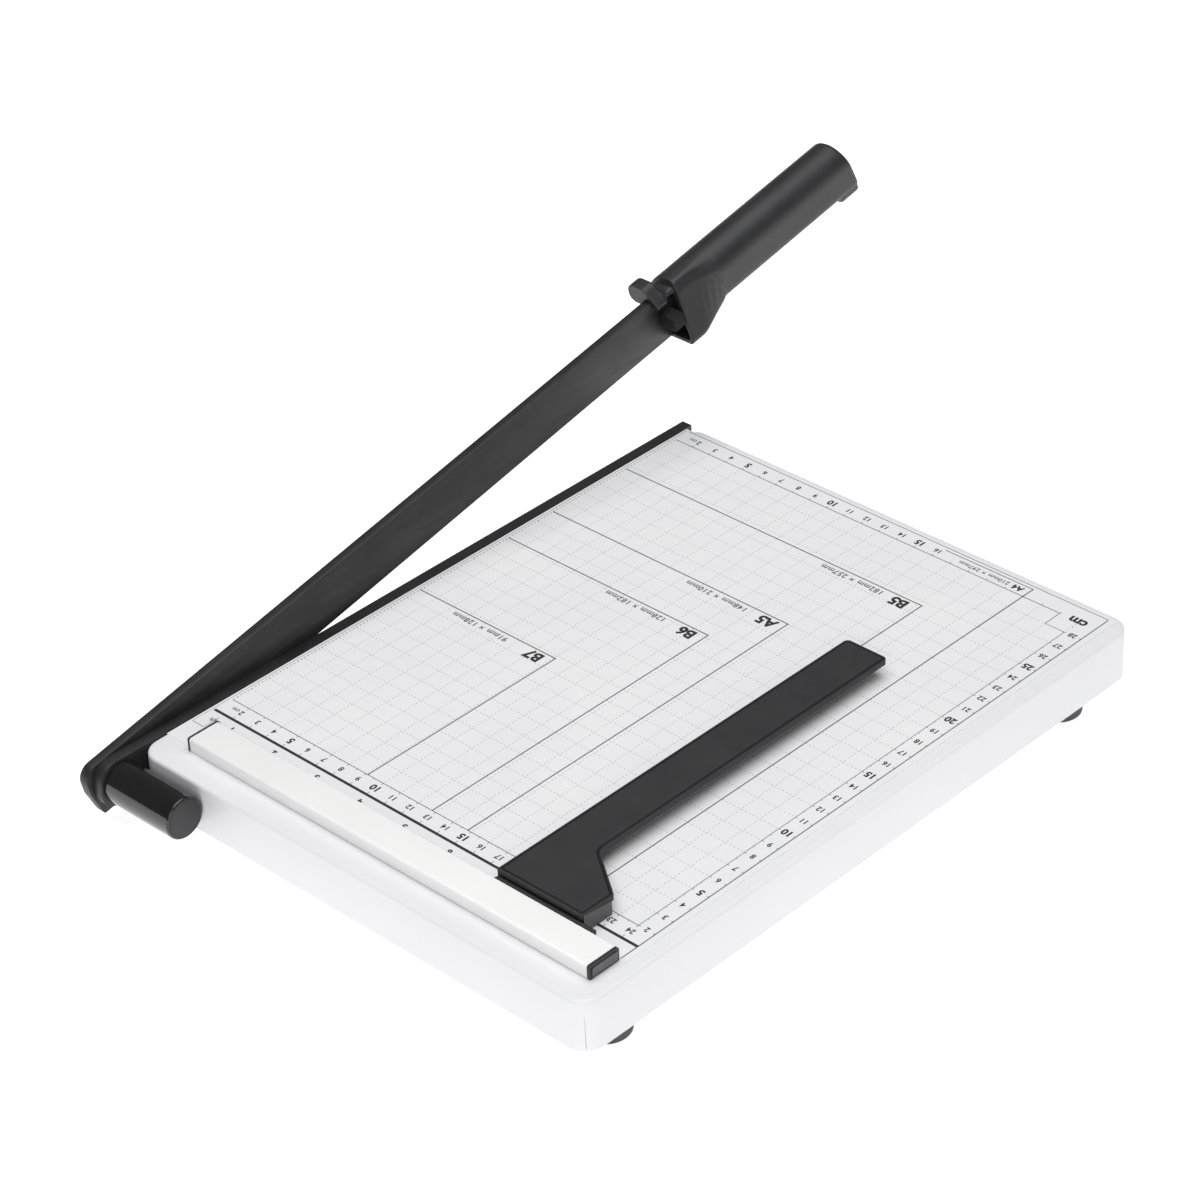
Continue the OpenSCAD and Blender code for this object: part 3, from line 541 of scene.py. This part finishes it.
def write(bm, text, x, y, cap, heavy=False, align="CENTER", spread=1.0):
    """Letters of cap height cap, upright as seen from the handle end, their middle line at y."""
    cu = bpy.data.curves.new("letters", "FONT")
    cu.body = text
    cu.size = cap / CAP_SHARE * MM
    cu.align_x = align
    cu.space_character = spread
    cu.offset = (BOLD if heavy else REGULAR) * cap * MM
    cu.resolution_u = 3
    ob = bpy.data.objects.new("letters", cu)
    me = bpy.data.meshes.new_from_object(ob)
    me.transform(Matrix.Translation(board(x, y - cap / 2, INK_Z)))
    bm.from_mesh(me)
    bpy.data.objects.remove(ob)
    bpy.data.curves.remove(cu)
    bpy.data.meshes.remove(me)


def number(bm, n, x, y):
    """Ruler number, larger and heavier at every fifth centimetre."""
    big = n % 5 == 0
    write(bm, str(n), x, y, BIG_CAP if big else SMALL_CAP, big)


def printed_text():
    dark, small = bmesh.new(), bmesh.new()
    for n in range(2, LAST_ACROSS + 1):
        number(dark, n, ZERO - CM * n, HEAD_TEXT_Y)
    write(small, "cm", UNIT_X, HEAD_UNIT_Y, UNIT_CAP, align="LEFT")
    for n in range(2, LAST_ALONG + 1):
        number(dark, n, (LEFT_X + BAND_X) / 2, -CM * n)
    for n in range(2, LAST_FRONT + 1):
        number(dark, n, ZERO - CM * n, FRONT_TEXT_Y)
    write(small, "cm", UNIT_X, FRONT_UNIT_Y, UNIT_CAP, align="LEFT")
    for n in range(1, LAST_INCH + 1):
        write(dark, str(n), ZERO - INCH * n, INCH_TEXT_Y, 3.0, True)
    write(small, "inch", EDGE_X - 8.5, INCH_UNIT_Y, 2.3, align="LEFT")
    write(dark, "cm", -238, -289.5, 5.0, True)
    for code, (gap, dims) in LABELS.items():
        w, h = SIZES[code]
        write(dark, code, ZERO - w + gap, -h + CODE_RISE, CODE_CAP, True, "LEFT")
        write(small, f"{w}mm × {h}mm", ZERO - w + dims, -h + DIMS_RISE, DIMS_CAP, False, "LEFT", 1.12)
    write(dark, "A4", ZERO - 207, -293.6, 3.2, True, "LEFT")
    write(small, "210mm × 297mm", ZERO - 199.5, -293.7, 2.4, False, "LEFT", 1.1)
    piece("print_numbers", dark, INK, "base", smooth=False)
    piece("print_small_text", small, INK_GREY, "base", smooth=False)


spring_tube()
gauge_face()
cap_panel()
corner_seams()
printed_lines()
printed_text()

# ---- stage, lights, camera ----

FLOOR_SIZE = 6                # metres
FLOOR_DROP = 0.2              # millimetres under the feet
FLOOR_GLOW = 0.85
SKY_GLOW = 0.14
SENSOR, LENS = 36, 117.2538   # millimetres
CLIP = 0.05, 50                # metres
CAMERA_AT = (-1059.69, 809.02, 918.62)          # in the board frame
CAMERA_RIGHT = (-0.7231, -0.6896, -0.0399)      # what lies to the right in the picture
CAMERA_LOOK = (0.5917, -0.5885, -0.5510)        # where the camera looks

scene = bpy.context.scene
scene.view_settings.view_transform = "Standard"


def add_floor():
    bm = bmesh.new()
    bmesh.ops.create_grid(bm, x_segments=1, y_segments=1, size=FLOOR_SIZE)
    me = bpy.data.meshes.new("floor")
    bm.to_mesh(me)
    bm.free()
    floor = bpy.data.objects.new("floor", me)
    floor.location.z = -FLOOR_DROP * MM
    scene.collection.objects.link(floor)
    m, nt, bsdf, coord = shader("floor")
    tone = ramp(nt, noise(nt, coord, 1.5), (0.55, 0.55, 0.55), (0.58, 0.58, 0.58))
    nt.links.new(tone, bsdf.inputs["Base Color"])
    bsdf.inputs["Emission Color"].default_value = (1, 1, 1, 1)
    bsdf.inputs["Emission Strength"].default_value = FLOOR_GLOW
    bsdf.inputs["Roughness"].default_value = 0.9
    bsdf.inputs["Specular IOR Level"].default_value = 0.1
    me.materials.append(m)


def add_world():
    world = bpy.data.worlds.new("studio")
    scene.world = world
    world.use_nodes = True
    background = world.node_tree.nodes["Background"]
    background.inputs["Color"].default_value = (1, 1, 1, 1)
    background.inputs["Strength"].default_value = SKY_GLOW


def area(name, at, size, power):
    """Round lamp that faces the middle of the frame."""
    li = bpy.data.lights.new(name, "AREA")
    li.shape = "DISK"
    li.size = size
    li.energy = power
    ob = bpy.data.objects.new(name, li)
    ob.location = at
    ob.rotation_euler = (-Vector(at)).to_track_quat("-Z", "Y").to_euler()
    scene.collection.objects.link(ob)


def add_camera():
    data = bpy.data.cameras.new("camera")
    data.sensor_width = SENSOR
    data.lens = LENS
    data.clip_start, data.clip_end = CLIP
    cam = bpy.data.objects.new("camera", data)
    scene.collection.objects.link(cam)
    right = Vector(CAMERA_RIGHT).normalized()
    back = -Vector(CAMERA_LOOK).normalized()
    up = back.cross(right).normalized()
    turn = Matrix((up.cross(back), up, back)).transposed().to_4x4()
    cam.matrix_world = Matrix.Translation(board(*CAMERA_AT)) @ turn
    scene.camera = cam


add_floor()
add_world()
area("key", (-0.1, 0.1, 1.9), 2.4, 38)
area("fill", (-1.4, 1.8, 1.1), 1.6, 13)
add_camera()
